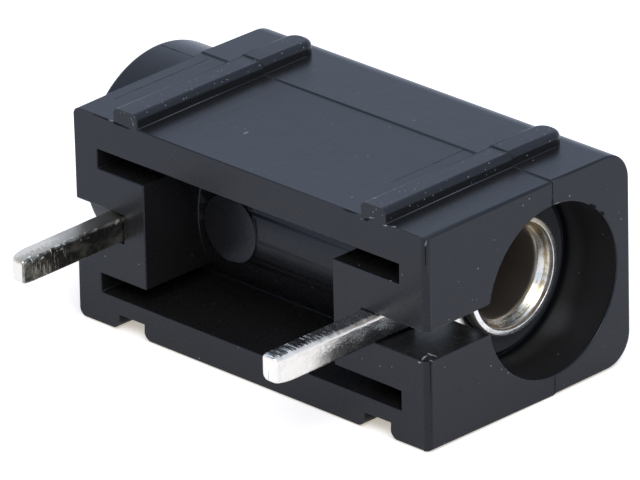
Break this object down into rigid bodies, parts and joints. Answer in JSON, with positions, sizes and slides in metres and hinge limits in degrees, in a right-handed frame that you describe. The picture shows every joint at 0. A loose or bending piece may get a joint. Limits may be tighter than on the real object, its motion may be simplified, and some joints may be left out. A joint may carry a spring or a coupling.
{
  "type": "banana socket",
  "caption": "Board-mounted insulated socket for a 4 mm banana plug, a black block with a shrouded metal sleeve, solder pins and stacking ribs.",
  "frame": {"origin": "on the plug axis, in the plane of the mouth face", "axes": "+X out of the mouth, along the plug axis; -Y towards the circuit board, along the solder pins; +Z out of the ribbed side, so that the part lies on its grooved side"},
  "size_m": [0.0241, 0.0187, 0.0108],
  "materials": {
    "housing_plastic": "moulded black, satin",
    "nickel_plate": "nickel-plated brass, bright",
    "tin_plate": "tinned, sheared edges"
  },
  "bodies": {
    "root": {"housing": "housing_plastic", "contact_sleeve": "nickel_plate", "front_solder_pin": "tin_plate", "rear_solder_pin": "tin_plate"}
  },
  "joints": []
}
